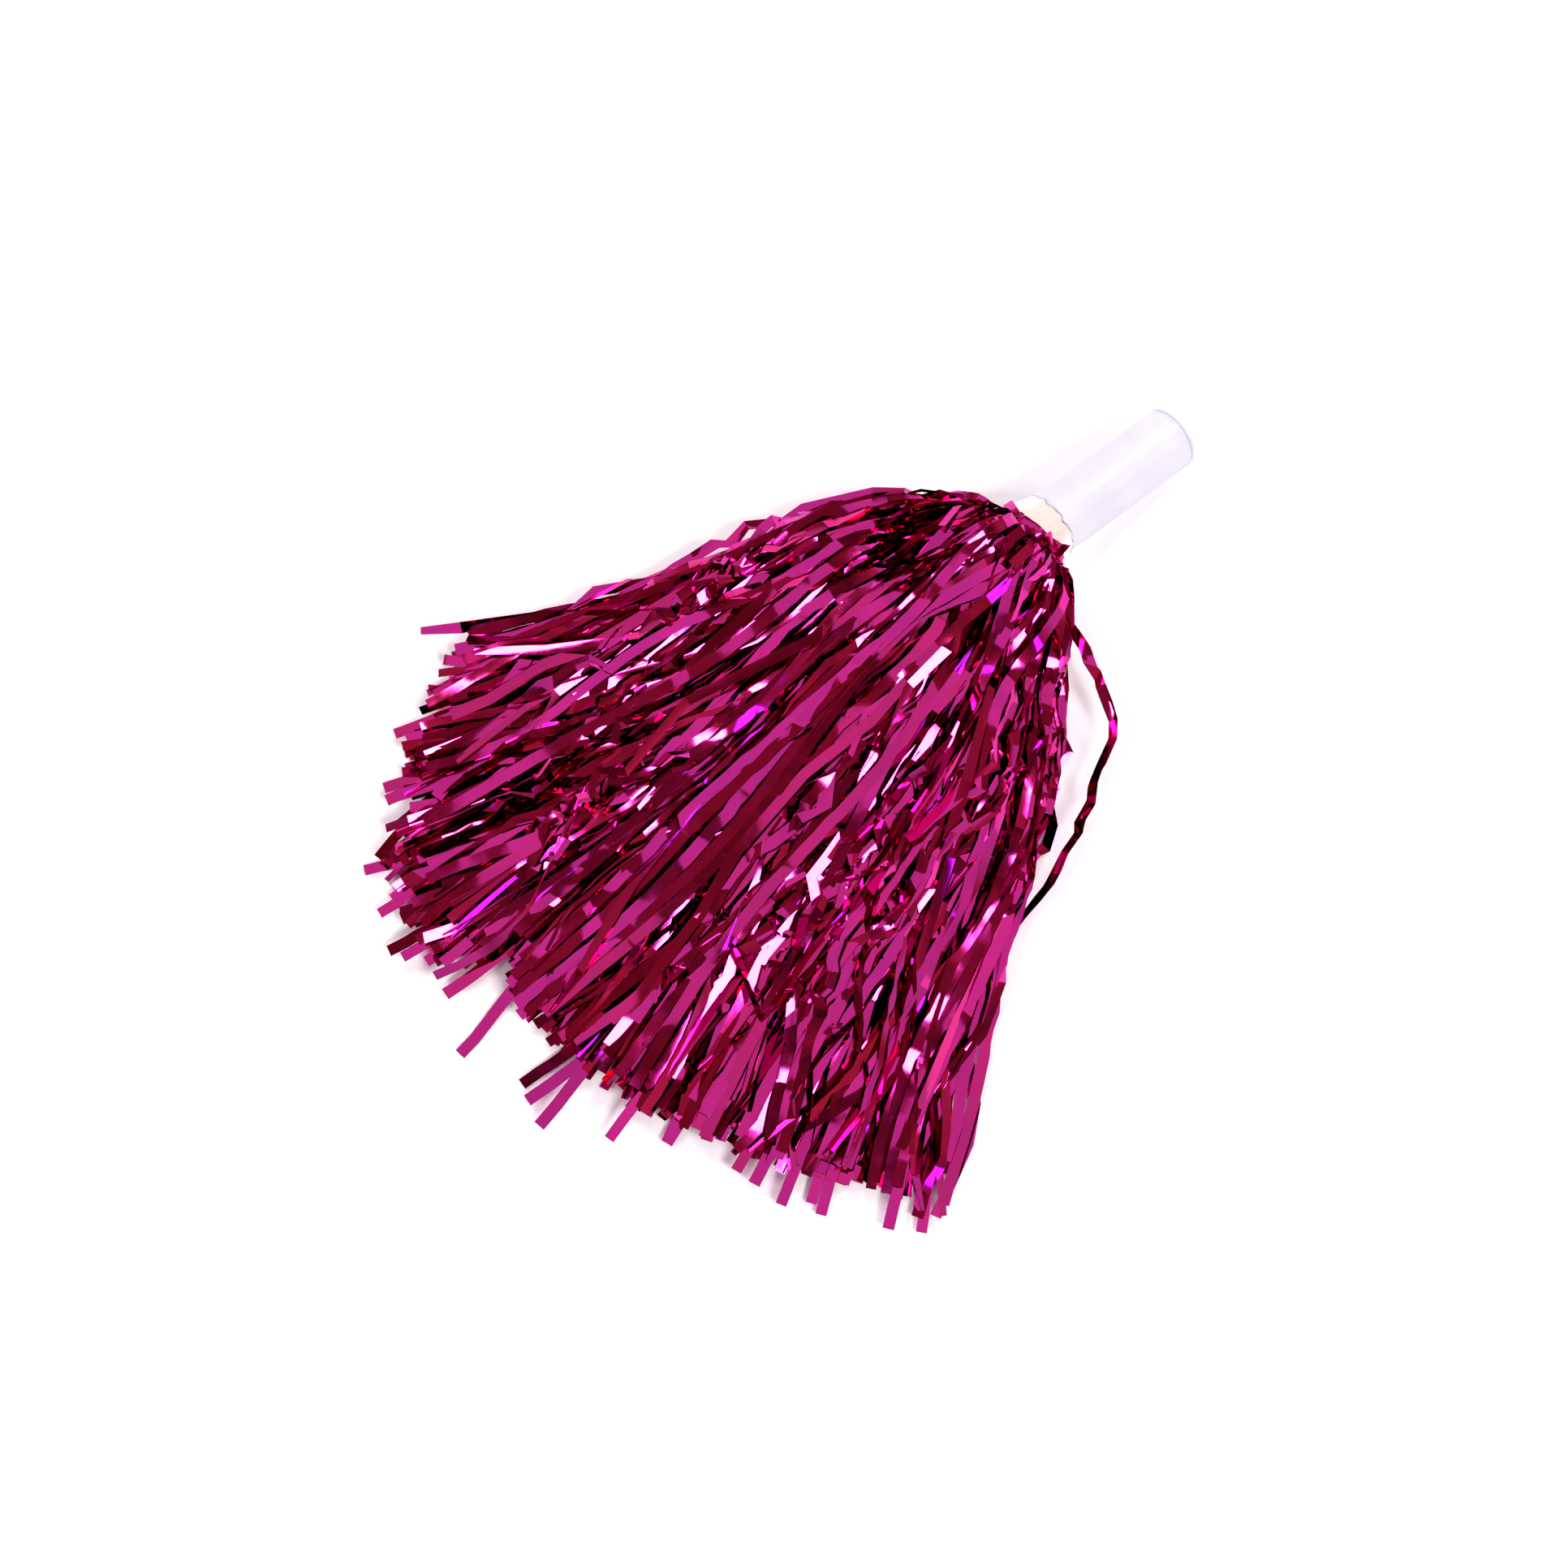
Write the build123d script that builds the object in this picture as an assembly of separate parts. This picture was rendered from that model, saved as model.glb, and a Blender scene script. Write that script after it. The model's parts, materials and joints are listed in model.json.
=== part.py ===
from build123d import *
from math import atan2, cos, degrees, radians, sin, sqrt, tan
import os

# A cheer pom pom lying on a table, in millimetres with Z up and the table at z = 0.
# A hollow plastic handle points along +X, with its closed end down on the table.
# Fringed foil sheets are wound and taped round its open end, and their streamers turn back
# over the winding and spread along -X in a flat fan.
# Everything is built about the pivot, the point on the handle's axis where the streamers turn,
# and is then moved so that the origin is at the middle of the finished object's base.

# handle, measured along its own axis from the pivot
tube_radius = 12.5
tube_wall = 1.6
closed_end = 77.0
open_end = -16.0
seat_relief = 0.2             # the wound end is this much smaller in radius than the grip
handle_tilt = 12.0            # degrees that the handle slopes down towards its closed end

# plug that closes the handle
cap_head = 4.0
cap_crown = 0.9
cap_corner = 2.0
cap_depth = 11.0
cap_wall = 1.4
cap_play = 0.05
pip_radius = 1.5              # the two snap pips that sit in holes in the tube
pip_inset = 9.0
pip_play = 0.15

# foil winding and its tapes
header_front = 6.0
header_back = -14.0
header_sheets = 3
header_thickness = 0.4
tape_thickness = 0.15
tape_split = 0.5              # where the collar tape meets the winding tape
collar_front = 8.0
seat_radius = tube_radius - seat_relief
header_radius = seat_radius + header_sheets * header_thickness

# turned-back foil round the neck
neck_radius = 40.0
neck_front = 3.0
neck_slope = 70.0             # degrees between the neck's front and the handle's axis
neck_play = 0.3
puff_top = 62.0               # height above the table

# fan of streamer tufts, in plan about the pivot
fan_turn = 5.0                # degrees that the fan lies off the handle's line, towards -Y
tip_radii = [236, 260, 280, 282, 281, 270, 262, 262, 258]
tuft_pitch = 8.2              # degrees from one tuft to the next
tuft_gap = 1.2                # degrees left free between two tufts
fan_clearance = 1.0           # between the neck and the tufts' inner ends
left_near, left_middle = (8.0, 42.0), (80.0, 83.0)       # along the fan and out from its middle
right_near, right_middle = (16.0, -36.0), (80.0, -84.0)
middle_radius, middle_height = 140.0, 45.0
edge_radius, edge_height = 300.0, 9.0

# one streamer that has slipped out beside the fan
stray_width = 4.2
stray_thickness = 0.3
stray_height = 9.0            # of its lower edge above the table
stray_points = [(-9.0, -48.0), (-19.0, -73.0), (-56.0, -94.0)]

neck_height = closed_end * sin(radians(handle_tilt)) + tube_radius * cos(radians(handle_tilt))
along_handle = Rot(0, 90 + handle_tilt, 0)
fan_direction = 180 + fan_turn


def polar(radius, degree):
    return (radius * cos(radians(degree)), radius * sin(radians(degree)))


def in_fan(along, out):
    """A point given along the fan's middle line and out from it, on the +Y side when positive."""
    x, y = polar(along, fan_direction)
    dx, dy = polar(out, fan_direction - 90)
    return (x + dx, y + dy)


def ring(inner, outer, low, high):
    """A plain sleeve round the handle's axis."""
    blank = Cylinder(outer, high - low, align=(Align.CENTER, Align.CENTER, Align.MIN))
    hole = Cylinder(inner, high - low, align=(Align.CENTER, Align.CENTER, Align.MIN))
    return Pos(0, 0, low) * (blank - hole)


def turned(points):
    """The solid that a closed outline of (radius, place along the axis) points sweeps out."""
    return revolve(Plane.XZ * make_face(Polyline(*points, close=True)), Axis.Z)


def crosswise(radius, reach, at):
    """A bar across the handle's axis, for the snap pips and their holes."""
    return Pos(0, 0, at) * Rot(90, 0, 0) * Cylinder(radius, 2 * reach)


def make_tube():
    grip = ring(tube_radius - tube_wall, tube_radius, collar_front, closed_end - cap_head)
    seat = ring(tube_radius - tube_wall, seat_radius, open_end, collar_front)
    return grip + seat - crosswise(pip_radius + pip_play, tube_radius + 1, closed_end - pip_inset)


def make_cap():
    seat = closed_end - cap_head
    head = turned([(0, seat), (tube_radius, seat), (tube_radius, closed_end - cap_crown), (0, closed_end)])
    rim = head.edges().filter_by(GeomType.CIRCLE).sort_by(Axis.Z)[-1]
    head = fillet(rim, cap_corner)
    plug_radius = tube_radius - tube_wall - cap_play
    plug = ring(plug_radius - cap_wall, plug_radius, seat - cap_depth, seat)
    pips = crosswise(pip_radius, tube_radius - 0.1, closed_end - pip_inset)
    pips -= crosswise(pip_radius + 1, plug_radius - cap_wall, closed_end - pip_inset)
    return head + plug + pips


def make_header(number):
    inner = seat_radius + number * header_thickness
    return ring(inner, inner + header_thickness, header_back, header_front)


def make_winding_tape():
    return ring(header_radius, header_radius + tape_thickness, header_back + 1, tape_split - 0.2)


def make_collar_tape():
    """Film that lies on the winding and runs down in a cone to the grip."""
    outer = header_radius + tape_thickness
    return turned(
        [
            (seat_radius, collar_front),
            (outer, header_front),
            (outer, tape_split),
            (header_radius, tape_split),
            (header_radius, header_front),
            (seat_radius, header_front),
        ]
    )


def make_neck():
    """Foil round the neck: a ball cut to a cone at the front and bored for the taped handle."""
    bore = header_radius + tape_thickness + neck_play
    lean = 1 / tan(radians(neck_slope))
    # where the cone's line z = start - lean * r meets the ball
    start = neck_front + lean * bore
    reach = (start * lean + sqrt(neck_radius**2 * (1 + lean**2) - start**2)) / (1 + lean**2)
    rim = (reach, start - lean * reach)
    rim_angle = degrees(atan2(rim[1], rim[0]))
    floor = open_end - neck_play
    outline = (
        Line((bore, neck_front), rim)
        + ThreePointArc(rim, polar(neck_radius, (rim_angle - 90) / 2), (0, -neck_radius))
        + Polyline((0, -neck_radius), (0, floor), (bore, floor), (bore, neck_front))
    )
    neck = along_handle * revolve(Plane.XZ * make_face(outline), Axis.Z)
    room = Box(3 * neck_radius, 3 * neck_radius, puff_top, align=(Align.CENTER, Align.CENTER, Align.MIN))
    return neck & Pos(0, 0, -neck_height) * room


def make_fan_blank():
    """The space under the fan's top, falling from the puff at the neck to the tips."""
    top = puff_top - neck_height
    edge = (edge_radius, edge_height - neck_height)
    middle = (middle_radius, middle_height - neck_height)
    outline = Polyline((0, top), (0, -neck_height), (edge_radius, -neck_height), edge)
    outline += ThreePointArc(edge, middle, (0, top))
    blank = revolve(Plane.XZ * make_face(outline), Axis.Z)
    return blank - Sphere(neck_radius + fan_clearance)


def tuft_direction(number):
    """Degrees in plan; the first tuft is the furthest to the +Y side."""
    middle = (len(tip_radii) - 1) / 2
    return fan_direction + (number - middle) * tuft_pitch


def make_tuft(number, blank):
    tip = tip_radii[number]
    direction = tuft_direction(number)
    half = (tuft_pitch - tuft_gap) / 2
    left, right = polar(tip, direction - half), polar(tip, direction + half)
    outline = ThreePointArc(left, polar(tip, direction), right)
    if number == 0:
        near = in_fan(*left_near)
        outside = ThreePointArc(left, in_fan(*left_middle), near) + Polyline(near, (0, 0), right)
    elif number == len(tip_radii) - 1:
        near = in_fan(*right_near)
        outside = ThreePointArc(right, in_fan(*right_middle), near) + Polyline(near, (0, 0), left)
    else:
        outside = Polyline(right, (0, 0), left)
    plan = make_face(outline + outside)
    column = extrude(Pos(0, 0, -neck_height) * plan, puff_top)
    return column & blank


def make_stray():
    path = ThreePointArc(*stray_points)
    start = path @ 0
    across = Plane(origin=start, z_dir=path % 0, x_dir=(0, 0, 1))
    section = across * Rectangle(stray_width, stray_thickness)
    strip = sweep(section, path=path)
    return Pos(0, 0, stray_height + stray_width / 2 - neck_height) * strip


nodes = {
    "handle_tube": along_handle * make_tube(),
    "handle_end_cap": along_handle * make_cap(),
    "winding_tape": along_handle * make_winding_tape(),
    "collar_tape": along_handle * make_collar_tape(),
    "neck_foil": make_neck(),
    "stray_streamer": make_stray(),
}
for number in range(header_sheets):
    nodes[f"header_sheet_{number + 1}"] = along_handle * make_header(number)
fan_blank = make_fan_blank()
for number in range(len(tip_radii)):
    nodes[f"streamer_tuft_{number + 1}"] = make_tuft(number, fan_blank)

whole = Compound(children=[Compound(list(node.solids())) for node in nodes.values()]).bounding_box()
to_origin = Pos(-(whole.min.X + whole.max.X) / 2, -(whole.min.Y + whole.max.Y) / 2, neck_height)

os.makedirs("parts", exist_ok=True)
for name, node in nodes.items():
    export_step(to_origin * Compound(list(node.solids())), f"parts/{name}.step")

pivot = to_origin.position
print(f"pivot at {pivot.X:.4f}, {pivot.Y:.4f}, {pivot.Z:.4f}")
for number in range(len(tip_radii)):
    print(f"tuft {number + 1} points at {tuft_direction(number):.2f} degrees")
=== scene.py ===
import json
import math

import bmesh
import bpy
import numpy as np
from mathutils import Matrix, Vector, noise


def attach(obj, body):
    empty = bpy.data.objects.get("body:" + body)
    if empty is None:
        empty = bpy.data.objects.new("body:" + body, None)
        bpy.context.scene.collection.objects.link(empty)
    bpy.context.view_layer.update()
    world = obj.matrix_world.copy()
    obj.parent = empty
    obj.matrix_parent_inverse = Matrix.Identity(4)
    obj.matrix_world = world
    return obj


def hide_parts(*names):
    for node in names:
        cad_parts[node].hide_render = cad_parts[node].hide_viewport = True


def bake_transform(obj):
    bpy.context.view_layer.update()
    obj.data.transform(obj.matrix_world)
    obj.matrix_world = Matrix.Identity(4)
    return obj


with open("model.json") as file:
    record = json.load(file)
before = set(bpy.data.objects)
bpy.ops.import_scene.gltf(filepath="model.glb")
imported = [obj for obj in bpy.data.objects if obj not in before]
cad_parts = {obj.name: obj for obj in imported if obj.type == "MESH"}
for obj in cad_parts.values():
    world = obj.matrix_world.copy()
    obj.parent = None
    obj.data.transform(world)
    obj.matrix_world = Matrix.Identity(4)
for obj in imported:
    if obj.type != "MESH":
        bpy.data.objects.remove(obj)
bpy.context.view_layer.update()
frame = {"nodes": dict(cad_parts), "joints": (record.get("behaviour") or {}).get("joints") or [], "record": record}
record = frame["record"]
joints = frame["joints"]
mounts = {m["name"]: m for m in record["mounts"]}
mm = 0.001

# places that everything else is built from
pivot = np.array(joints[0]["pos_m"])
up = np.array([0.0, 0.0, 1.0])
handleAxis = np.array(mounts["handle_grip"]["axis"])      # towards the closed end
backAxis = -handleAxis
ringUp = up - handleAxis * (up @ handleAxis)
ringUp = ringUp / np.linalg.norm(ringUp)
ringSide = np.array([0.0, 1.0, 0.0])                      # the +Y side, square to the handle
tuftAlong = [np.array([-j["axis"][1], j["axis"][0], 0.0]) for j in joints]
fanAlong = tuftAlong[len(joints) // 2]
fanSide = np.array([fanAlong[1], -fanAlong[0], 0.0])      # out from the fan's middle, on the +Y side


def toLinear(hexColour, alpha=1.0):
    parts = [int(hexColour[i:i + 2], 16) / 255 for i in (0, 2, 4)]
    parts = [c / 12.92 if c <= 0.04045 else ((c + 0.055) / 1.055) ** 2.4 for c in parts]
    return (*parts, alpha)


def addNode(tree, kind, settings=None, links=None):
    # settings: property names or input names and their values; links: input name -> output socket
    node = tree.nodes.new("ShaderNode" + kind)
    for name, value in (settings or {}).items():
        if name in node.inputs:
            node.inputs[name].default_value = value
        else:
            setattr(node, name, value)
    for name, source in (links or {}).items():
        tree.links.new(source, node.inputs[name])
    return node


def newMaterial(name, settings):
    material = bpy.data.materials.new(name)
    material.use_nodes = True
    tree = material.node_tree
    tree.nodes.clear()
    shader = addNode(tree, "BsdfPrincipled", settings)
    addNode(tree, "OutputMaterial", links={"Surface": shader.outputs[0]})
    return material, tree, shader


foil = {
    "colour": "CE2690", "deep": "BE2082", "warm": "C42070", "grazing": "D85CCB",
    "roughness": (0.04, 0.11),
    "haze": 9.0 * mm,           # spacing of the patches where the lacquer is duller
    "waviness": 6.0 * mm,       # spacing of the soft dents in the film
    "dent": 0.03 * mm,
    "sharpFrom": 13,            # degrees between two facets, from which the crease is sharp
}


def metallisedFilm(name):
    # magenta metallised PET film: a mirror under a tinted lacquer, so it shows the room in
    # magenta, turns crimson and maroon where one streamer is seen in another, and violet at a slant
    material, tree, shader = newMaterial(name, {
        "Metallic": 1.0, "Specular Tint": toLinear(foil["grazing"]),
        "Coat Weight": 0.3, "Coat Roughness": 0.05, "Coat IOR": 1.5})
    place = addNode(tree, "TexCoord").outputs["Object"]
    tint = addNode(tree, "Attribute", {"attribute_name": "tint"}).outputs["Fac"]
    base = addNode(tree, "ValToRGB", links={"Fac": tint})
    stops = base.color_ramp.elements
    stops[0].color, stops[1].color = toLinear(foil["deep"]), toLinear(foil["warm"])
    middle = stops.new(0.5)
    middle.color = toLinear(foil["colour"])
    tree.links.new(base.outputs["Color"], shader.inputs["Base Color"])
    haze = addNode(tree, "TexNoise", {"Scale": 1 / foil["haze"], "Detail": 3.0}, {"Vector": place})
    low, high = foil["roughness"]
    rough = addNode(tree, "MapRange", {"From Min": 0.35, "From Max": 0.7, "To Min": low, "To Max": high},
                    {"Value": haze.outputs["Fac"]})
    tree.links.new(rough.outputs["Result"], shader.inputs["Roughness"])
    dents = addNode(tree, "TexNoise", {"Scale": 1 / foil["waviness"], "Detail": 1.0}, {"Vector": place})
    bump = addNode(tree, "Bump", {"Strength": 1.0, "Distance": foil["dent"]},
                   {"Height": dents.outputs["Fac"]})
    tree.links.new(bump.outputs["Normal"], shader.inputs["Normal"])
    return material


handlePlastic = {
    "dark": "C6C9D4", "light": "CFD1DB",
    "cloud": 22.0 * mm,         # spacing of the milky clouds
    "grain": 0.9 * mm,          # the mould's satin grain, drawn as coarse as it needs to show
    "roughness": (0.30, 0.46),
}


def milkyPolypropylene(name):
    # moulded natural polypropylene: milky, a little lavender, lit from within, with a soft satin skin
    material, tree, shader = newMaterial(name, {
        "Subsurface Weight": 0.6, "Subsurface Radius": (1.0, 0.95, 1.0), "Subsurface Scale": 6 * mm,
        "IOR": 1.49, "Specular IOR Level": 0.25})
    place = addNode(tree, "TexCoord").outputs["Object"]
    cloud = addNode(tree, "TexNoise", {"Scale": 1 / handlePlastic["cloud"], "Detail": 2.0}, {"Vector": place})
    base = addNode(tree, "ValToRGB", links={"Fac": cloud.outputs["Fac"]})
    for stop, spot, colour in zip(base.color_ramp.elements, (0.3, 0.7), ("dark", "light")):
        stop.position, stop.color = spot, toLinear(handlePlastic[colour])
    tree.links.new(base.outputs["Color"], shader.inputs["Base Color"])
    skin = addNode(tree, "TexNoise", {"Scale": 1 / handlePlastic["grain"], "Detail": 4.0}, {"Vector": place})
    low, high = handlePlastic["roughness"]
    rough = addNode(tree, "MapRange", {"From Min": 0.3, "From Max": 0.7, "To Min": low, "To Max": high},
                    {"Value": skin.outputs["Fac"]})
    tree.links.new(rough.outputs["Result"], shader.inputs["Roughness"])
    bump = addNode(tree, "Bump", {"Strength": 0.25, "Distance": 0.03 * mm}, {"Height": skin.outputs["Fac"]})
    tree.links.new(bump.outputs["Normal"], shader.inputs["Normal"])
    return material


tape = {
    "colour": "FAF0E8", "edge": "5C3A48",
    "pulls": 3.0 * mm,          # spacing of the stretch marks in the film
    "roughness": (0.05, 0.16),
}


def clearTape(name):
    # polypropylene packing tape: clear, a little cream, glossy, pulled in places and dark at its cut edge
    material, tree, shader = newMaterial(name, {"Transmission Weight": 0.5, "IOR": 1.2})
    place = addNode(tree, "TexCoord").outputs["Object"]
    cut = addNode(tree, "Attribute", {"attribute_name": "edge"}).outputs["Fac"]
    base = addNode(tree, "ValToRGB", links={"Fac": cut})
    for stop, spot, colour in zip(base.color_ramp.elements, (0.1, 0.5), ("colour", "edge")):
        stop.position, stop.color = spot, toLinear(tape[colour])
    tree.links.new(base.outputs["Color"], shader.inputs["Base Color"])
    pulls = addNode(tree, "TexNoise", {"Scale": 1 / tape["pulls"], "Detail": 3.0}, {"Vector": place})
    bump = addNode(tree, "Bump", {"Strength": 0.5, "Distance": 0.1 * mm}, {"Height": pulls.outputs["Fac"]})
    tree.links.new(bump.outputs["Normal"], shader.inputs["Normal"])
    low, high = tape["roughness"]
    rough = addNode(tree, "MapRange", {"From Min": 0.35, "From Max": 0.7, "To Min": low, "To Max": high},
                    {"Value": pulls.outputs["Fac"]})
    tree.links.new(rough.outputs["Result"], shader.inputs["Roughness"])
    return material


foilMaterial = metallisedFilm("magenta_metallised_film")
handleMaterial = milkyPolypropylene("milky_polypropylene")
tapeMaterial = clearTape("clear_packing_tape")


def wear(node, material):
    slots = frame["nodes"][node].data.materials
    slots.clear()
    slots.append(material)


for node in frame["nodes"]:
    if node in ("handle_tube", "handle_end_cap"):
        wear(node, handleMaterial)
    elif node.endswith("_tape"):
        wear(node, tapeMaterial)
    else:
        wear(node, foilMaterial)
print("materials made")


def smooth(low, high, x):
    t = np.clip((x - low) / (high - low), 0, 1)
    return t * t * (3 - 2 * t)


def unit(v):
    return v / np.maximum(np.linalg.norm(v, axis=-1, keepdims=True), 1e-12)


fan = {
    "edge": 36.5,                     # degrees from the middle line to the outermost tips
    "pileRadius": [40, 75, 130, 200, 290],
    "pileTop": [50, 50, 37, 21, 7],
    "reachAngle": [-37, -34, -30, -26, -22, -17, -12, -7, -2, 2, 6, 9, 14, 19, 23, 27, 31, 37],
    "reach": [240, 252, 248, 248, 252, 250, 256, 254, 258, 258, 246, 270, 272, 268, 250, 244, 233, 230],
    "leftSwell": (1.08, 56.0), "rightSwell": (0.60, 80.0),
}


def swell(radius, side):
    # how much further round a streamer lies near the neck than at its tip
    amount, fade = fan["leftSwell"] if side > 0 else fan["rightSwell"]
    return 1 + amount * np.exp(-(np.maximum(radius - 41 * mm, 0) / (fade * mm)) ** 1.4)


def pileHeight(radius, angle):
    top = np.interp(radius / mm, fan["pileRadius"], fan["pileTop"]) * mm
    share = np.clip(np.abs(angle) / (fan["edge"] * swell(radius, np.sign(np.mean(angle)) or 1)), 0, 1)
    return top * (1 - 0.62 * share ** 2.5)


def fanPoint(radius, angle, height):
    a = np.radians(angle)
    flat = np.outer(radius * np.cos(a), fanAlong) + np.outer(radius * np.sin(a), fanSide)
    return pivot * [1, 1, 0] + flat + np.outer(height, up)


drifting = {
    "corner": (25, 60), "cornerGrows": (30, 90),    # spacing of corners, and where their drift grows
    "wave": (110, 240), "waveGrows": (30, 110),     # the same for slow waves, all in mm from the neck
}


def wander(rng, size, straight=False):
    # a slow sideways drift, in metres, as a function of the distance from the neck
    near, far = (edge * mm for edge in drifting["cornerGrows" if straight else "waveGrows"])
    if straight:
        knots = np.cumsum(rng.uniform(*drifting["corner"], 12)) * mm
        shifts = rng.normal(0, size, 12)
        return lambda r: np.interp(r, knots, shifts) * smooth(near, far, r)
    waves = [(rng.uniform(*drifting["wave"]) * mm, rng.uniform(0, 6.28), rng.normal(0, size))
             for _ in range(2)]
    return lambda r: sum(a * np.sin(6.283 * r / w + p) for w, p, a in waves) * smooth(near, far, r)


def rootPoint(ringAngle, along, radius):
    a = math.radians(ringAngle)
    out = ringUp * math.cos(a) + ringSide * math.sin(a)
    return pivot + handleAxis * along + out * radius, out


def hermite(p0, d0, p1, d1, count):
    t = np.linspace(0, 1, count)[:, None]
    return (p0 * (2 * t**3 - 3 * t**2 + 1) + d0 * (t**3 - 2 * t**2 + t)
            + p1 * (3 * t**2 - 2 * t**3) + d1 * (t**3 - t**2))


roots = {
    "along": ((-13.0, -7.0), (-9.0, -2.0)),     # on the winding, from the pivot: +Y side, other side
    "radius": 14.4,
    "topLift": 38, "sideLift": 42,              # degrees off the handle's line on top, and what the sides add
    "mostLift": 84, "liftSpread": 8,
    "sideRing": 95, "underRing": 85, "ringSpread": 18,      # degrees round the ring, for the fan's sides
    "wrap": 30, "mostWrap": 70,                 # spread of the turn round the handle, in degrees
    "leave": (1.0, 1.45), "arrive": (0.9, 1.3),     # how full the bend is at its ends, in shares of its span
    "join": (52, 74), "leftJoin": 14,           # where the fan is reached, and how much nearer on the +Y side
}


def outerPath(angle, level, tip, drift, offset, join):
    # down the pile, from where a streamer reaches the fan to its tip
    radius = np.arange(join, tip, 2 * mm)
    sideways = drift(radius) + offset * smooth(40 * mm, 170 * mm, radius)
    spread = swell(radius, 1 if angle > 0 else -1)
    limit = (fan["edge"] + 1) * spread
    turn = np.clip(angle * spread + np.degrees(sideways / radius), -limit, limit)
    return fanPoint(radius, turn, 0.5 * mm + level * pileHeight(radius, turn))


def streamerPath(rng, angle, level, tip, drift, offset=0.0):
    # from the taped ring, out and back over it, and down the pile to the tip
    side = 1 if angle > 0 else -1
    share = min(abs(angle) / fan["edge"], 1)
    join = (rng.uniform(*roots["join"]) - roots["leftJoin"] * max(side * share, 0)) * mm
    outer = outerPath(angle, level, tip, drift, offset, join)
    top, bottom = roots["sideRing"] * share, 180 - roots["underRing"] * share
    ringAngle = side * (bottom + (top - bottom) * smooth(0.0, 1.0, level))
    ringAngle = ringAngle + rng.normal(0, roots["ringSpread"])
    leftShare = (1 + math.sin(math.radians(ringAngle))) / 2
    leftAlong, rightAlong = (rng.uniform(*span) for span in roots["along"])
    along = rightAlong + (leftAlong - rightAlong) * leftShare
    start, out = rootPoint(ringAngle, along * mm, roots["radius"] * mm)
    sideways = abs(math.sin(math.radians(ringAngle)))
    steep = roots["topLift"] + roots["sideLift"] * sideways + rng.normal(0, roots["liftSpread"])
    steep = math.radians(min(steep, roots["mostLift"])) * (0.5 if out @ up < -0.4 else 1)
    wrap = math.radians(np.clip(rng.normal(0, roots["wrap"]), -roots["mostWrap"], roots["mostWrap"]))
    roundRing = np.cross(handleAxis, out)
    leave = backAxis * math.cos(steep) + (out * math.cos(wrap) + roundRing * math.sin(wrap)) * math.sin(steep)
    run = np.linalg.norm(outer[0] - start)
    inner = hermite(start, leave * run * rng.uniform(*roots["leave"]), outer[0],
                    unit(outer[1] - outer[0]) * run * rng.uniform(*roots["arrive"]), 24)
    return np.vstack([inner[:-1], outer])


# in mm from the neck: where creasing grows, and where it fades and by how much. Then its shares all along a
# streamer and in its own band
creaseSpan = {"grows": (22, 55), "fades": (190, 245), "fadesBy": 0.8, "everywhere": 0.12, "inBand": 0.88}


def crumpling(crumple, band, distance):
    # how creased the film is at a distance from the neck: most in one band of its length
    centre, spread = band
    near, far = (smooth(low * mm, high * mm, distance)
                 for low, high in (creaseSpan["grows"], creaseSpan["fades"]))
    body = near * (1 - creaseSpan["fadesBy"] * far)
    inBand = np.exp(-((distance - centre) / spread) ** 2)
    return crumple * body * (creaseSpan["everywhere"] + creaseSpan["inBand"] * inBand)


# the step between creases and how far each is shifted and lifted, in mm, and its facets' roll in radians
creasing = {
    "smooth": {"step": (3.5, 7.0), "shift": 0.10, "lift": 0.08, "roll": 0.03},
    "folded": {"step": (12.0, 40.0), "shift": 0.7, "lift": 0.9, "roll": 0.20},
    "crumpled": {"step": (3.5, 10.0), "shift": 1.7, "lift": 1.5, "roll": 0.75},
}


facets = {
    "rough": 0.3,               # crumpling above which the facets are short
    "longestInBend": 12,        # where the streamer turns back at the neck, in mm
    "kinked": 0.5,              # share of the crumpled facets that are rolled hard
    "sway": 0.07, "swayLength": (25, 60),       # slow roll along the length, in radians and mm
    "pinch": 0.55,              # how far the middle line stands off at a crumpled crease, in mm
    "lowest": 0.6, "lowestEdge": 0.25,          # least height above the table, in mm
}


def stations(rng, path, style, crumple, band):
    # places along a path where the film creases: close together where it is crumpled
    steps = np.linalg.norm(np.diff(path, axis=0), axis=1)
    run = np.concatenate([[0], np.cumsum(steps)])
    far = np.linalg.norm(path - pivot, axis=1)
    places, at = [0.0], 0.0
    while at < run[-1] - 6 * mm:
        here = np.interp(at, run, far)
        rough = crumpling(crumple, band, here) > facets["rough"]
        step = rng.uniform(*creasing["crumpled" if rough else style]["step"])
        at += min(step, facets["longestInBend"] if here < 55 * mm else step) * mm
        places.append(min(at, run[-1]))
    places[-1] = run[-1]
    return np.array(places), run


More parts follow.
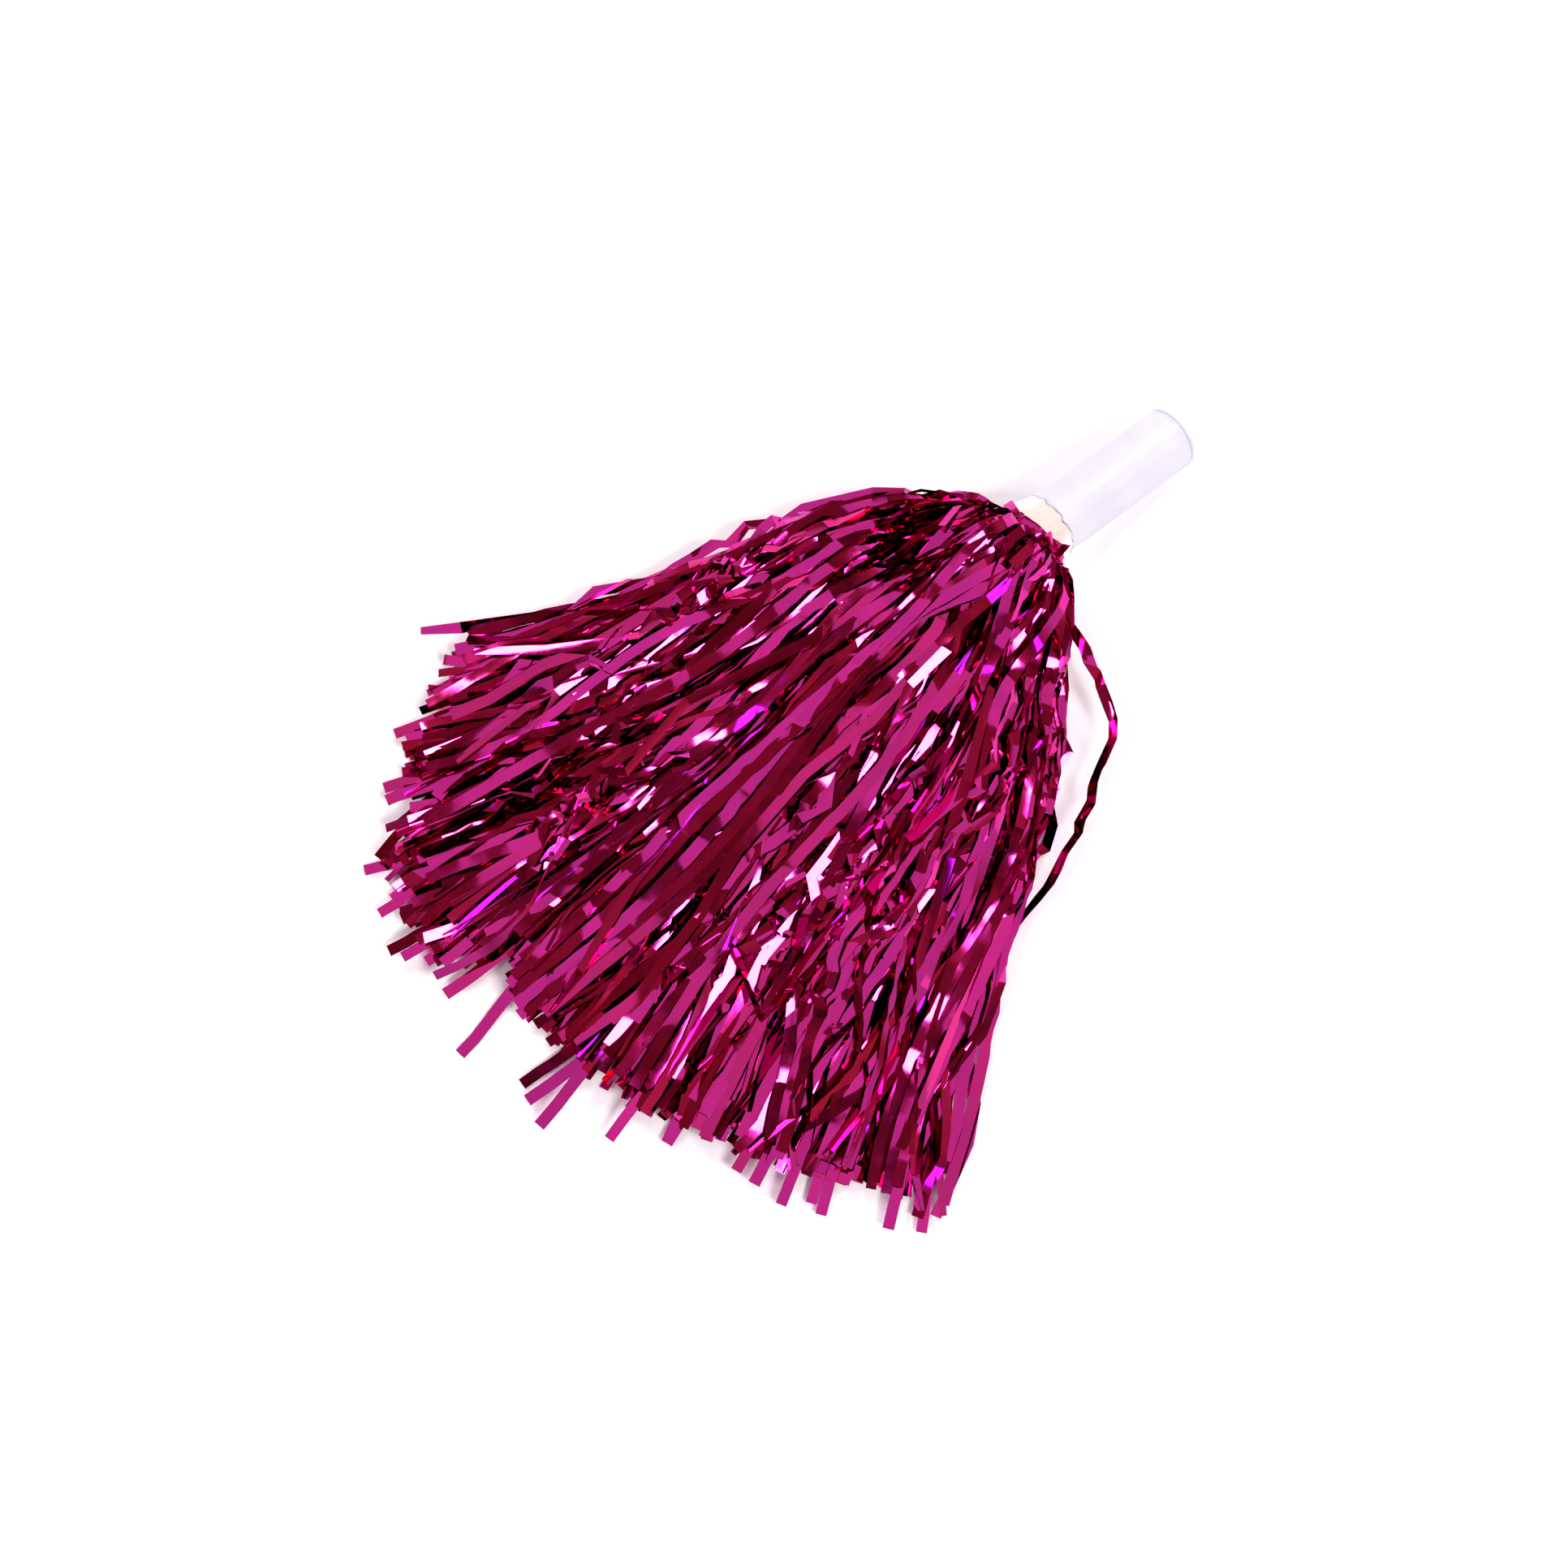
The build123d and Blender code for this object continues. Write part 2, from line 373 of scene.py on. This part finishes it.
def streamer(rng, path, width, style, crumple, band, roll, twists=()):
    # flat facets that meet in creases. Returns points (3 across at each crease) and their places
    places, run = stations(rng, path, style, crumple, band)
    nodes = np.stack([np.interp(places, run, path[:, k]) for k in range(3)], axis=1)
    along = unit(np.gradient(nodes, axis=0))
    radius = np.linalg.norm(nodes - pivot, axis=1)
    rough = crumpling(crumple, band, radius)
    own, worst = creasing[style], creasing["crumpled"]
    loose = smooth(15 * mm, 50 * mm, radius)
    shift = (own["shift"] * loose + worst["shift"] * rough) * mm
    lift = (own["lift"] * loose + worst["lift"] * rough) * mm
    sideways = unit(np.cross(along, up))
    nodes = nodes + sideways * (rng.normal(0, 1, len(nodes)) * shift)[:, None]
    nodes = nodes + up * (rng.normal(0, 1, len(nodes)) * lift)[:, None]
    nodes[:, 2] = np.maximum(nodes[:, 2], facets["lowest"] * mm)
    facet = unit(np.diff(nodes, axis=0))
    middle = (nodes[1:] + nodes[:-1]) / 2
    far = np.linalg.norm(middle - pivot, axis=1)
    blend = smooth(30 * mm, 85 * mm, far)[:, None]
    offset = middle - pivot
    outward = unit(offset - np.outer(offset @ handleAxis, handleAxis))
    outward[:, 2] = np.abs(outward[:, 2])
    face = outward * (1 - blend) + up * blend
    face = unit(face - facet * np.sum(face * facet, axis=1, keepdims=True))
    cross = np.cross(facet, face)
    rough = crumpling(crumple, band, far)
    count = len(facet)
    hard = rng.random(count) < facets["kinked"]
    kink = np.where(hard, rng.normal(0, worst["roll"], count), rng.normal(0, 0.3, count))
    centre = (places[1:] + places[:-1]) / 2
    swayLength = rng.uniform(*facets["swayLength"]) * mm
    sway = facets["sway"] * np.sin(centre / swayLength + rng.uniform(0, 6.28))
    angle = roll + kink * rough + sway + rng.normal(0, own["roll"], count) * smooth(20 * mm, 60 * mm, far)
    for place, length, sense in twists:
        angle = angle + sense * math.pi * smooth(place - length / 2, place + length / 2, centre)
    normal = face * np.cos(angle)[:, None] + cross * np.sin(angle)[:, None]
    across = np.cross(facet, normal)
    mean = unit(across[1:] + across[:-1])
    crease = np.cross(normal[:-1], normal[1:])
    size = np.linalg.norm(crease, axis=1)
    crease = unit(crease)
    slant = np.sum(crease * mean, axis=1)
    crease = crease * np.sign(slant)[:, None]
    slant = np.abs(slant)
    folds = (size > 0.1) & (slant > 0.72)
    inner = np.where(folds[:, None], crease / np.maximum(slant, 0.5)[:, None], mean)
    edge = np.vstack([across[:1], inner, across[-1:]])
    lean = unit(np.vstack([normal[:1], normal[1:] + normal[:-1], normal[-1:]]))
    pinch = rng.normal(0, facets["pinch"] * mm, len(nodes)) * crumpling(crumple, band, radius)
    half = width / 2
    points = np.stack([nodes + edge * half, nodes + lean * pinch[:, None], nodes - edge * half], axis=1)
    points[:, :, 2] = np.maximum(points[:, :, 2], facets["lowestEdge"] * mm)
    return points, places


class Fringe:
    # gathers the streamers of one piece and makes them one mesh
    def __init__(self, name):
        self.name = name
        self.points, self.faces, self.tints, self.uvs = [], [], [], []
        self.count, self.area, self.longest = 0, 0.0, 0.0

    def add(self, points, places, width, tint):
        base = sum(len(p) for p in self.points)
        rows = len(points)
        self.points.append(points.reshape(-1, 3))
        self.tints += [tint] * (rows * 3)
        for row in range(rows - 1):
            for column in range(2):
                a = base + row * 3 + column
                self.faces.append((a, a + 1, a + 4, a + 3))
                low, high = places[row], places[row + 1]
                left, right = column * width / 2, (column + 1) * width / 2
                self.uvs += [left, low, right, low, right, high, left, high]
        self.count += 1
        self.area += width * places[-1]
        self.longest = max(self.longest, places[-1])

    def build(self, material):
        mesh = bpy.data.meshes.new(self.name)
        mesh.from_pydata(np.vstack(self.points).tolist(), [], self.faces)
        uv = mesh.uv_layers.new(name="strip")
        uv.data.foreach_set("uv", self.uvs)
        tint = mesh.attributes.new("tint", "FLOAT", "POINT")
        tint.data.foreach_set("value", self.tints)
        mesh.polygons.foreach_set("use_smooth", [True] * len(mesh.polygons))
        mesh.set_sharp_from_angle(angle=math.radians(foil["sharpFrom"]))
        mesh.materials.append(material)
        mesh.validate()
        piece = bpy.data.objects.new(self.name, mesh)
        bpy.context.scene.collection.objects.link(piece)
        return piece


bundles = {
    "seed": 7,
    "width": (3.9, 4.6),
    "ribbons": 46, "perRibbon": (3, 6), "ribbonPitch": 4.7,      # neighbours that still lie like one sheet
    "ribbonFlat": 0.50, "ribbonRoll": (0.3, 0.75),      # share that lie flat, and the others' roll in radians
    "singles": 340,
    "singleFlat": 0.22, "singleRoll": (0.25, 0.95),
    "folded": 0.45,             # share of the singles with a few sharp folds
    "twisted": 0.3, "twistPlace": (60, 230), "twistLength": (22, 50),
}


def reachAt(angle):
    return np.interp(angle, fan["reachAngle"], fan["reach"]) * mm


def tuftOf(angle):
    number = len(joints)
    return int(np.clip(number / 2 - angle / (2 * fan["edge"]) * number, 0, number - 1))


crumpled = {
    # degrees from the fan's middle line, distance from the neck in mm, and how far each patch spreads,
    # in degrees and in mm
    "patches": [(17, 188, 10, 34), (-17, 150, 9, 42), (-33, 80, 14, 40), (4, 240, 5, 16), (30, 120, 10, 36),
                (-6, 205, 6, 22)],
    "share": 0.62,              # of the streamers that cross a patch
}


def crumpleOf(rng, angle, chance):
    # how crumpled a streamer is, and the band of its length where it is so
    for middle, distance, width, spread in crumpled["patches"]:
        if abs(angle - middle) < width and rng.random() < crumpled["share"]:
            crumple = rng.uniform(0.6, 1.0)
            centre = (distance + rng.normal(0, 10)) * mm
            return crumple, centre, spread * mm * rng.uniform(0.7, 1.2)
    crumple = rng.uniform(0.4, 0.9) if rng.random() < chance else rng.uniform(0.0, 0.15)
    return crumple, rng.uniform(50, 210) * mm, rng.uniform(15, 45) * mm


def addRibbons(rng, fringes):
    # neighbouring streamers that have kept together and lie flat side by side
    count = bundles["ribbons"]
    levels = ((rng.permutation(count) + 0.5) / count) ** 1.2
    for index in range(count):
        size = int(rng.integers(*bundles["perRibbon"]))
        pitch = bundles["ribbonPitch"] * mm
        room = fan["edge"] - math.degrees(size * pitch / 2 / 0.25)
        angle = rng.uniform(-1, 1) * room
        drift = wander(rng, 3.5 * mm)
        flat = rng.random() < bundles["ribbonFlat"]
        roll = rng.normal(0, 0.05) if flat else rng.choice([-1, 1]) * rng.uniform(*bundles["ribbonRoll"])
        back = abs(rng.normal(0, 7)) * mm
        for j in range(size):
            offset = (j - (size - 1) / 2) * pitch
            tip = reachAt(angle) - back - abs(rng.normal(0, 5)) * mm
            level = float(np.clip(levels[index] + j * 0.004 + rng.normal(0, 0.004), 0.0, 1.0))
            own = wander(rng, 0.7 * mm)
            path = streamerPath(rng, angle, level, tip, lambda r: drift(r) + own(r), offset)
            width = rng.uniform(*bundles["width"]) * mm
            crumple, centre, spread = crumpleOf(rng, angle, 0.1)
            points, places = streamer(
                rng, path, width, "smooth", crumple * 0.8, (centre, spread), roll + rng.normal(0, 0.10))
            fringes[tuftOf(angle)].add(points, places, width, rng.random())


def addSingles(rng, fringes):
    # streamers that wander over and under the rest, with creases and twists
    for index in range(bundles["singles"]):
        angle = rng.uniform(-1, 1) * (fan["edge"] - 1)
        level = rng.random() ** 0.9
        tip = reachAt(angle) - abs(rng.normal(0, 12)) * mm
        drift = wander(rng, 5.0 * mm)
        own = wander(rng, 3.4 * mm, straight=True)
        path = streamerPath(rng, angle, level, tip, lambda r: drift(r) + own(r))
        style = "folded" if rng.random() < bundles["folded"] else "smooth"
        crumple, centre, spread = crumpleOf(rng, angle, 0.3)
        flat = rng.random() < bundles["singleFlat"]
        roll = rng.normal(0, 0.07) if flat else rng.choice([-1, 1]) * rng.uniform(*bundles["singleRoll"])
        twists = []
        if rng.random() < bundles["twisted"]:
            place = rng.uniform(*bundles["twistPlace"]) * mm
            length = rng.uniform(*bundles["twistLength"]) * mm
            twists.append((place, length, rng.choice([-1, 1])))
        width = rng.uniform(*bundles["width"]) * mm
        points, places = streamer(rng, path, width, style, crumple, (centre, spread), roll, twists)
        fringes[tuftOf(angle)].add(points, places, width, rng.random())


# streamers that end beyond the rest: degrees from the fan's middle line, reach in mm, and how many
# lie together there
strays = [(-36.5, 246, 1), (-34.5, 256, 2), (-32.6, 257, 1), (-27.5, 259, 2), (-23.7, 260, 1),
          (-20.6, 258, 3), (-14, 258, 2), (-9.8, 269, 1), (-4.4, 280, 1), (-2.3, 276, 2), (3.8, 281, 1),
          (8.5, 273, 3), (11, 277, 1), (12.2, 281, 1), (16.3, 276, 2), (18.5, 274, 1), (24.8, 257, 2),
          (29, 247, 1)]

wraps = {
    # streamers that go round the collar before they turn back: where each starts and leaves the ring,
    # in degrees round the handle from its top, and its angle and reach in the fan
    "routes": [(-84, 34, 20, 248), (-70, 22, 14, 256), (-62, 30, 9, 250), (-96, 8, 5, 244), (-50, 4, -3, 252),
               (-110, -14, -9, 250), (70, 20, 25, 240)],
    "start": (-1.5, 0.5), "leave": (-9, -6),    # along the handle, from the pivot
    "radius": (15.6, 16.0), "join": 66,
}

# streamers laid along listed routes, in mm about the pivot in plan and above the table
loopRoute = [(-8, -15, 27), (-8, -27, 20), (-10, -41, 17), (-13, -54, 14), (-21, -74, 12), (-39, -82, 11),
             (-57, -93, 11), (-74, -99, 10), (-96, -104, 7), (-124, -110, 3)]
kinkRoute = [(-12, -8, 40), (-36, -25, 49), (-90, -50, 44), (-133, -60, 34), (-161, -65, 27), (-191, -73, 20),
             (-186, -59, 21), (-178, -39, 22), (-168, -21, 23), (-159, -9, 23)]
byHand = [
    # route, number of its tuft, roll in radians, crumple
    (loopRoute, len(joints) - 1, 0.7, 0.45),
    (kinkRoute, 6, 1.0, 0.1),
]


def addStrays(rng, fringes):
    for middle, reach, count in strays:
        drift = wander(rng, 2.0 * mm)
        for j in range(count):
            offset = (j - (count - 1) / 2) * bundles["ribbonPitch"] * mm
            tip = (reach - abs(rng.normal(0, 7)) * (j > 0)) * mm
            own = wander(rng, 1.6 * mm, straight=True)
            level = rng.uniform(0.05, 0.6)
            path = streamerPath(rng, middle, level, tip, lambda r: drift(r) + own(r), offset)
            width = rng.uniform(*bundles["width"]) * mm
            roll = rng.normal(0, 0.15)
            points, places = streamer(rng, path, width, "smooth", 0.3, (120 * mm, 50 * mm), roll)
            fringes[tuftOf(middle)].add(points, places, width, rng.random())


def addWraps(rng, fringes):
    for startAngle, leaveAngle, angle, reach in wraps["routes"]:
        level = rng.uniform(0.93, 1.0)
        outer = outerPath(angle, level, reach * mm, wander(rng, 3 * mm), 0.0, wraps["join"] * mm)
        along = np.linspace(rng.uniform(*wraps["start"]), rng.uniform(*wraps["leave"]), 14) * mm
        arc = np.array([rootPoint(a, b, rng.uniform(*wraps["radius"]) * mm)[0]
                        for a, b in zip(np.linspace(startAngle, leaveAngle, len(along)), along)])
        run = np.linalg.norm(outer[0] - arc[-1])
        inner = hermite(arc[-1], unit(arc[-1] - arc[-2]) * run * 0.8,
                        outer[0], unit(outer[1] - outer[0]) * run, 24)
        width = rng.uniform(*bundles["width"]) * mm
        path = np.vstack([arc, inner[1:-1], outer])
        roll = rng.normal(0, 0.12)
        points, places = streamer(rng, path, width, "smooth", 0.1, (90 * mm, 40 * mm), roll)
        fringes[tuftOf(angle)].add(points, places, width, rng.random())


def addByHand(rng, fringes):
    for route, tuft, roll, crumple in byHand:
        corners = np.array(route) * mm + pivot * [1, 1, 0]
        run = np.concatenate([[0], np.cumsum(np.linalg.norm(np.diff(corners, axis=0), axis=1))])
        at = np.arange(0, run[-1], 3 * mm)
        path = np.stack([np.interp(at, run, corners[:, k]) for k in range(3)], axis=1)
        width = np.mean(bundles["width"]) * mm
        points, places = streamer(rng, path, width, "smooth", crumple, (90 * mm, 60 * mm), roll)
        fringes[tuft].add(points, places, width, 0.5)


def makeTufts():
    rng = np.random.default_rng(bundles["seed"])
    fringes = [Fringe(f"foil_tuft_{k + 1}") for k in range(len(joints))]
    addRibbons(rng, fringes)
    addSingles(rng, fringes)
    addStrays(rng, fringes)
    addWraps(rng, fringes)
    addByHand(rng, fringes)
    return fringes


fringes = makeTufts()
for k, fringe in enumerate(fringes):
    piece = fringe.build(foilMaterial)
    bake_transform(piece)
    stands = [f"streamer_tuft_{k + 1}"] + (["stray_streamer"] if k == len(joints) - 1 else [])
    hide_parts(*stands)
print("streamers:", sum(f.count for f in fringes), "faces:", sum(len(f.faces) for f in fringes))


# short foil round the neck, under the streamers that turn back, and torn scraps at the collar
neck = {
    "seed": 3,
    "count": 90, "width": (3.2, 4.2),
    "along": (-11, -4), "radius": 14.2, "reach": (24, 37), "steep": (25, 70),
    "scraps": 16, "scrapAngle": (-160, 20), "scrapLength": (6.5, 9.5), "scrapWidth": (1.5, 3.5),
    "scrapAlong": (-5, -1), "scrapRadius": (14.6, 15.6),
}


def makeNeck():
    rng = np.random.default_rng(neck["seed"])
    fringe = Fringe("foil_neck")
    for index in range(neck["count"]):
        ringAngle = rng.uniform(-180, 180)
        start, out = rootPoint(ringAngle, rng.uniform(*neck["along"]) * mm, neck["radius"] * mm)
        reach = rng.uniform(*neck["reach"]) * mm
        steep = math.radians(rng.uniform(*neck["steep"]))
        leave = backAxis * math.cos(steep) + out * math.sin(steep)
        end = pivot + backAxis * reach * rng.uniform(0.6, 1.0) + out * reach * rng.uniform(0.4, 0.8)
        end[2] = max(end[2], 3 * mm)
        path = hermite(start, leave * 45 * mm, end, (backAxis - 0.2 * out) * 30 * mm, 30)
        path[:, 2] = np.maximum(path[:, 2], 1.5 * mm)
        width = rng.uniform(*neck["width"]) * mm
        points, places = streamer(rng, path, width, "folded", 0.5, (35 * mm, 30 * mm), rng.normal(0, 0.2))
        fringe.add(points, places, width, rng.random())
    for index in range(neck["scraps"]):
        ringAngle = rng.uniform(*neck["scrapAngle"])
        along = rng.uniform(*neck["scrapAlong"]) * mm
        start, out = rootPoint(ringAngle, along, rng.uniform(*neck["scrapRadius"]) * mm)
        roundRing = np.cross(handleAxis, out)
        away = unit(out * rng.uniform(0.3, 0.8) + roundRing * rng.normal(0, 0.8)
                    + handleAxis * rng.uniform(-0.6, 0.3))
        length = rng.uniform(*neck["scrapLength"]) * mm
        path = start + np.outer(np.linspace(0, 1, 8), away * length)
        width = rng.uniform(*neck["scrapWidth"]) * mm
        points, places = streamer(rng, path, width, "smooth", 0.0, (35 * mm, 30 * mm), rng.normal(0, 0.8))
        fringe.add(points, places, width, rng.random())
    return fringe


neckFringe = makeNeck()
neckPiece = neckFringe.build(foilMaterial)
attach(neckPiece, "handle")
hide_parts("neck_foil")
print("neck made")


# the wound foil and the clear film over it
collar = {
    "steps": 96,
    # place along the handle from the pivot, and radius
    "windingProfile": [(-13.0, 14.1), (-9.0, 14.2), (-6.0, 14.1), (-3.5, 14.0), (-1.5, 13.8), (0.0, 13.4),
                       (1.2, 12.8)],
    "windingDent": 0.6, "windingWander": 0.8,
    "filmProfile": [(-4.0, 15.4), (-2.0, 15.1), (0.5, 14.6), (3.0, 14.0), (5.2, 13.5), (7.0, 13.1),
                    (7.9, 12.95), (8.8, 12.85)],
    "filmDent": 0.28, "filmWander": 1.5, "filmThickness": 0.12,
    "flatRadius": 14.1,         # that the sheets' flat widths are worked out from
    "filmSlack": 0.8,           # allowed in the film's length for the slope and the dents
}


def aroundHandle(profile, dent, edgeWander, seed):
    # a sleeve spun round the handle from its profile, then dented and with wandering edges
    shape = bmesh.new()
    line = [shape.verts.new(Vector(pivot + (handleAxis * along + ringUp * radius) * mm))
            for along, radius in profile]
    for low, high in zip(line, line[1:]):
        shape.edges.new((low, high))
    bmesh.ops.spin(shape, geom=shape.verts[:] + shape.edges[:], cent=Vector(pivot), axis=Vector(handleAxis),
                   angle=math.tau, steps=collar["steps"], use_merge=True)
    start, end = profile[0][0], profile[-1][0]
    cut = shape.verts.layers.float.new("edge")
    for vert in shape.verts:
        offset = np.array(vert.co) - pivot
        along = (offset @ handleAxis) / mm
        out = unit(offset - handleAxis * (offset @ handleAxis))
        vert[cut] = float(end - along < 0.1)
        spot = Vector(out + handleAxis * seed)
        rough = noise.noise(spot * 7.0 + Vector(handleAxis) * along * 0.45)
        push = (rough + 0.5 * noise.noise(spot * 19.0 + Vector(handleAxis) * along * 0.9)) * dent
        shiftEnd = noise.noise(spot * 4.7) * edgeWander * (along - start) / (end - start)
        shiftStart = noise.noise(spot * 5.9) * edgeWander * (end - along) / (end - start)
        shift = out * max(push, -0.12) + handleAxis * (shiftEnd + shiftStart)
        vert.co = Vector(np.array(vert.co) + shift * mm)
    bmesh.ops.recalc_face_normals(shape, faces=shape.faces[:])
    return shape


def finishPiece(shape, name, material):
    mesh = bpy.data.meshes.new(name)
    shape.to_mesh(mesh)
    shape.free()
    mesh.materials.append(material)
    piece = bpy.data.objects.new(name, mesh)
    bpy.context.scene.collection.objects.link(piece)
    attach(piece, "handle")
    return piece


def makeWinding():
    shape = aroundHandle(collar["windingProfile"], collar["windingDent"], collar["windingWander"], 3.0)
    piece = finishPiece(shape, "wound_foil", foilMaterial)
    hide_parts("header_sheet_1", "header_sheet_2", "header_sheet_3")


def makeFilm():
    shape = aroundHandle(collar["filmProfile"], collar["filmDent"], collar["filmWander"], 8.0)
    for face in shape.faces:
        face.smooth = True
    bmesh.ops.solidify(shape, geom=shape.faces[:], thickness=-collar["filmThickness"] * mm)
    piece = finishPiece(shape, "clear_film", tapeMaterial)
    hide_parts("collar_tape", "winding_tape")


makeWinding()
makeFilm()
print("collar made")


def makeFloor():
    shape = bmesh.new()
    bmesh.ops.create_grid(shape, x_segments=1, y_segments=1, size=20.0)
    mesh = bpy.data.meshes.new("floor")
    shape.to_mesh(mesh)
    shape.free()
    floor = bpy.data.objects.new("floor", mesh)
    bpy.context.scene.collection.objects.link(floor)
    material = newMaterial("white_paper_sweep", {
        "Base Color": toLinear("F4F3F5"), "Roughness": 0.9, "Specular IOR Level": 0.1})[0]
    mesh.materials.append(material)


lamps = {
    # direction from the object, width in degrees, light on a surface that faces it, colour
    "front key": ((0.12, -0.65, 0.85), 18, 2.10, "F8FFFC"),
    "back key": ((0.1, 1.25, 0.85), 16, 1.70, "F8FFFC"),
    "end key": ((1.1, 0.2, 1.0), 13, 1.00, "F8FFFC"),
    "left glint": ((-1.1, 0.5, 0.75), 6, 0.40, "FFFFFF"),
    "low glint": ((-0.7, -1.1, 0.8), 6, 0.40, "FFFFFF"),
    "high glint": ((-0.75, 0.1, 1.0), 5, 0.35, "FFFFFF"),
    "right glint": ((0.9, -0.7, 0.7), 6, 0.35, "FFFFFF"),
    "violet glint": ((-0.9, -0.35, 0.75), 8, 0.16, "8A4CFF"),
    "violet glint low": ((0.5, -1.0, 0.5), 9, 0.18, "8A4CFF"),
    "violet glint back": ((-0.2, 1.0, 0.5), 9, 0.18, "8A4CFF"),
}
overhead = {"place": (0.21, 0.27, 1.6), "size": 1.5, "radiance": 0.78, "colour": "EEE6FF"}      # metres


def addLight(name, kind, place):
    light = bpy.data.lights.new(name, kind)
    lamp = bpy.data.objects.new(name, light)
    lamp.location = place
    lamp.rotation_euler = (-Vector(place)).to_track_quat("-Z", "Y").to_euler()
    bpy.context.scene.collection.objects.link(lamp)
    return light


def makeLamps():
    for name, (direction, width, strength, colour) in lamps.items():
        light = addLight(name, "SUN", direction)
        light.angle = math.radians(width)
        light.energy = strength
        light.color = toLinear(colour)[:3]
    panel = addLight("overhead", "AREA", overhead["place"])
    panel.size = overhead["size"]
    panel.energy = overhead["radiance"] * math.pi * overhead["size"] ** 2
    panel.color = toLinear(overhead["colour"])[:3]


studio = {
    # sine of the height above the horizon, and what the foil sees there
    "wall": (0.12, "E2E0E2"), "roomLow": (0.24, "A87562"), "roomHigh": (0.68, "965B4C"),
    "gloom": (0.76, "84483E"), "zenith": (1.0, "84504A"),
}


def makeWorld():
    # a plain pale wall at the horizon, and above it a dim warm room, lighter and darker in patches
    world = bpy.data.worlds.new("studio")
    world.use_nodes = True
    tree = world.node_tree
    tree.nodes.clear()
    direction = addNode(tree, "TexCoord").outputs["Generated"]
    height = addNode(tree, "SeparateXYZ", links={"Vector": direction}).outputs["Z"]
    glow = addNode(tree, "ValToRGB", links={"Fac": height})
    stops = glow.color_ramp.elements
    stops[1].position, stops[1].color = studio["zenith"][0], toLinear(studio["zenith"][1])
    stops[0].position, stops[0].color = studio["wall"][0], toLinear(studio["wall"][1])
    for name in ("roomLow", "roomHigh", "gloom"):
        place, colour = studio[name]
        stops.new(place).color = toLinear(colour)
    clutter = addNode(tree, "TexNoise", {"Scale": 2.6, "Detail": 2.0}, {"Vector": direction})
    patchy = addNode(tree, "MapRange", {"From Min": 0.35, "From Max": 0.65, "To Min": 0.35, "To Max": 1.6},
                     {"Value": clutter.outputs["Fac"]})
    above = addNode(tree, "MapRange", {"From Min": studio["wall"][0], "From Max": studio["roomLow"][0]},
                    {"Value": height})
    strength = addNode(tree, "Mix", {"A": 1.0},
                       {"Factor": above.outputs["Result"], "B": patchy.outputs["Result"]})
    background = addNode(tree, "Background", links={"Color": glow.outputs["Color"],
                                                    "Strength": strength.outputs["Result"]})
    addNode(tree, "OutputWorld", links={"Surface": background.outputs[0]})
    bpy.context.scene.world = world


camera = {
    "azimuth": -40.0, "elevation": 75.0, "lens": 60.0, "sensor": 36.0,
    "frameWidth": 580 * mm,                     # how much the picture spans at the object
    "neckRight": 91.3 * mm, "neckUp": 90.7 * mm,    # where the neck stands from the picture's middle
}


def makeCamera():
    a, e = math.radians(camera["azimuth"]), math.radians(camera["elevation"])
    toCamera = Vector((math.sin(a) * math.cos(e), -math.cos(a) * math.cos(e), math.sin(e)))
    right = Vector((math.cos(a), math.sin(a), 0))
    upward = toCamera.cross(right)
    target = Vector(pivot) - right * camera["neckRight"] - upward * camera["neckUp"]
    distance = camera["frameWidth"] * camera["lens"] / camera["sensor"]
    data = bpy.data.cameras.new("camera")
    data.lens = camera["lens"]
    data.sensor_width = camera["sensor"]
    eye = bpy.data.objects.new("camera", data)
    eye.matrix_world = Matrix.Translation(target + toCamera * distance) @ Matrix(
        (right, upward, toCamera)).transposed().to_4x4()
    bpy.context.scene.collection.objects.link(eye)
    bpy.context.scene.camera = eye


makeFloor()
makeWorld()
makeCamera()
makeLamps()
bpy.context.scene.view_settings.view_transform = "Standard"
print("stage set")
